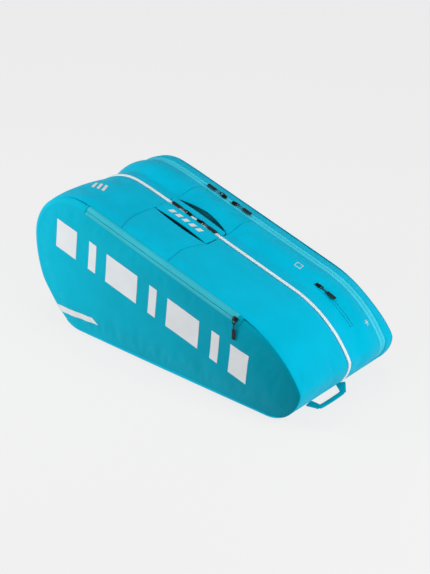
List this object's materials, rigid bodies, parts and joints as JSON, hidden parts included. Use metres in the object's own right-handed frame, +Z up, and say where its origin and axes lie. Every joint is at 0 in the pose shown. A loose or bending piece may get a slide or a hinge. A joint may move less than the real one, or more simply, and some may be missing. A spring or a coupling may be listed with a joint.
{
  "type": "racket tournament bag",
  "caption": "Large zipped racket bag, wide at the head end and sloping to a narrow tail, with an integrated top handle, side pocket and shoulder straps.",
  "frame": {"origin": "middle of the flat base, on the ground", "axes": "+X from the wide head end to the narrow tail end, -Y the front with the side pocket, +Z up"},
  "size_m": [0.774, 0.3776, 0.3404],
  "materials": {
    "shell_fabric": "matte coated polyester weave",
    "lining": "plain woven lining",
    "thermal_lining": "shiny foil-faced lining",
    "foam": "soft closed-cell foam",
    "board": "thin plastic stiffener",
    "zip_tape": "ribbed zip tape, slightly lighter than the shell",
    "white_coil": "white nylon coil",
    "slider_metal": "black paint",
    "pull_rubber": "moulded, satin",
    "webbing": "woven webbing",
    "strap_pad": "padded, shell fabric outside, mesh inside",
    "buckle_plastic": "moulded, satin"
  },
  "bodies": {
    "core": {"base_panel": "shell_fabric", "base_board": "board", "divider": "lining", "thermal_liner_divider": "thermal_lining", "mid_gusset_head": "shell_fabric", "mid_gusset_tail": "shell_fabric", "mid_gusset_patch": "shell_fabric", "handle_band_rear": "shell_fabric", "handle_lining_rear": "lining", "front_zip_tape_b": "zip_tape", "front_zip_coil_b": "white_coil", "rear_zip_tape_a": "zip_tape", "accessory_zip_tape": "zip_tape", "accessory_pocket_bag": "lining", "end_loop_tabs": "webbing"},
    "front_shell": {"front_panel": "shell_fabric", "pocket_backing": "lining", "front_foam": "foam", "front_gusset_head": "shell_fabric", "front_gusset_tail": "shell_fabric", "front_gusset_patch": "shell_fabric", "handle_band_front": "shell_fabric", "handle_lining_front": "lining", "front_zip_tape_a": "zip_tape", "front_zip_coil_a": "white_coil", "pocket_zip_tape_lower": "zip_tape", "pocket_zip_tape_upper": "zip_tape"},
    "rear_shell": {"rear_panel": "shell_fabric", "rear_foam": "foam", "thermal_liner_rear": "thermal_lining", "rear_gusset_head": "shell_fabric", "rear_gusset_top": "shell_fabric", "rear_gusset_tail": "shell_fabric", "rear_zip_tape_b": "zip_tape", "strap_anchor_patches": "webbing"},
    "end_loop": {"end_loop": "webbing"},
    "strap_upper": {"strap_upper_pad": "strap_pad", "strap_upper_webbing": "webbing", "strap_upper_ladder_lock": "buckle_plastic"},
    "strap_lower": {"strap_lower_pad": "strap_pad", "strap_lower_webbing": "webbing", "strap_lower_ladder_lock": "buckle_plastic"},
    "front_zip_head_slider": {"front_zip_head_slider": "slider_metal"},
    "front_zip_head_pull": {"front_zip_head_ring": "slider_metal", "front_zip_head_tab": "pull_rubber"},
    "front_zip_tail_slider": {"front_zip_tail_slider": "slider_metal"},
    "front_zip_tail_pull": {"front_zip_tail_ring": "slider_metal", "front_zip_tail_tab": "pull_rubber"},
    "rear_zip_head_slider": {"rear_zip_head_slider": "slider_metal"},
    "rear_zip_head_pull": {"rear_zip_head_ring": "slider_metal", "rear_zip_head_tab": "pull_rubber"},
    "rear_zip_tail_slider": {"rear_zip_tail_slider": "slider_metal"},
    "rear_zip_tail_pull": {"rear_zip_tail_ring": "slider_metal", "rear_zip_tail_tab": "pull_rubber"},
    "accessory_zip_slider": {"accessory_zip_slider": "slider_metal"},
    "accessory_zip_pull": {"accessory_zip_ring": "slider_metal", "accessory_zip_tab": "pull_rubber"},
    "pocket_zip_slider": {"pocket_zip_slider": "slider_metal"},
    "pocket_zip_pull": {"pocket_zip_ring": "slider_metal", "pocket_zip_tab": "pull_rubber"}
  },
  "joints": [
    {"name": "front_shell_hinge", "type": "hinge", "parent": "core", "child": "front_shell", "pos_m": [0, -0.166, 0.013], "axis": [1, 0, 0], "range_deg": [0, 70]},
    {"name": "rear_shell_hinge", "type": "hinge", "parent": "core", "child": "rear_shell", "pos_m": [0, 0.169, 0.0095], "axis": [-1, 0, 0], "range_deg": [0, 45]},
    {"name": "front_zip_head_slide", "type": "slide", "parent": "front_shell", "child": "front_zip_head_slider", "axis": [-0.9681, 0, 0.2504], "range_m": [0, 0.15]},
    {"name": "front_zip_head_pull_hinge", "type": "hinge", "parent": "front_zip_head_slider", "child": "front_zip_head_pull", "pos_m": [-0.07999, 0.01, 0.30011], "axis": [0, 1, 0], "range_deg": [0, 100]},
    {"name": "front_zip_tail_slide", "type": "slide", "parent": "front_shell", "child": "front_zip_tail_slider", "axis": [0.9681, 0, -0.2504], "range_m": [0, 0.25]},
    {"name": "front_zip_tail_pull_hinge", "type": "hinge", "parent": "front_zip_tail_slider", "child": "front_zip_tail_pull", "pos_m": [-0.04999, 0.01, 0.29235], "axis": [0, -1, 0], "range_deg": [0, 100]},
    {"name": "rear_zip_head_slide", "type": "slide", "parent": "rear_shell", "child": "rear_zip_head_slider", "axis": [-0.9681, 0, 0.2504], "range_m": [0, 0.15]},
    {"name": "rear_zip_head_pull_hinge", "type": "hinge", "parent": "rear_zip_head_slider", "child": "rear_zip_head_pull", "pos_m": [-0.07999, 0.135, 0.30011], "axis": [0, 1, 0], "range_deg": [0, 100]},
    {"name": "rear_zip_tail_slide", "type": "slide", "parent": "rear_shell", "child": "rear_zip_tail_slider", "axis": [0.9681, 0, -0.2504], "range_m": [0, 0.25]},
    {"name": "rear_zip_tail_pull_hinge", "type": "hinge", "parent": "rear_zip_tail_slider", "child": "rear_zip_tail_pull", "pos_m": [-0.04999, 0.135, 0.29235], "axis": [0, -1, 0], "range_deg": [0, 100]},
    {"name": "accessory_zip_travel", "type": "hinge", "parent": "core", "child": "accessory_zip_slider", "pos_m": [0.15866, 0.067, -0.03435], "axis": [0, 1, 0], "range_deg": [0, 22]},
    {"name": "accessory_zip_pull_hinge", "type": "hinge", "parent": "accessory_zip_slider", "child": "accessory_zip_pull", "pos_m": [0.24736, 0.067, 0.21436], "axis": [0, -1, 0], "range_deg": [0, 100]},
    {"name": "pocket_zip_slide", "type": "slide", "parent": "front_shell", "child": "pocket_zip_slider", "axis": [-0.9681, 0, 0.2504], "range_m": [0, 0.42]},
    {"name": "pocket_zip_pull_hinge", "type": "hinge", "parent": "pocket_zip_slider", "child": "pocket_zip_pull", "pos_m": [0.21189, -0.18495, 0.21999], "axis": [-1, 0, 0], "range_deg": [0, 90]},
    {"name": "end_loop_hinge", "type": "hinge", "parent": "core", "child": "end_loop", "pos_m": [0.3345, 0, 0.0053], "axis": [0, -1, 0], "range_deg": [0, 30]},
    {"name": "strap_upper_swing", "type": "hinge", "parent": "rear_shell", "child": "strap_upper", "pos_m": [-0.021, 0.183, 0.226], "axis": [0.9841, 0, -0.1775], "range_deg": [0, 80]},
    {"name": "strap_lower_swing", "type": "hinge", "parent": "rear_shell", "child": "strap_lower", "pos_m": [-0.006, 0.183, 0.096], "axis": [0.9999, 0, 0.0154], "range_deg": [0, 80]}
  ]
}
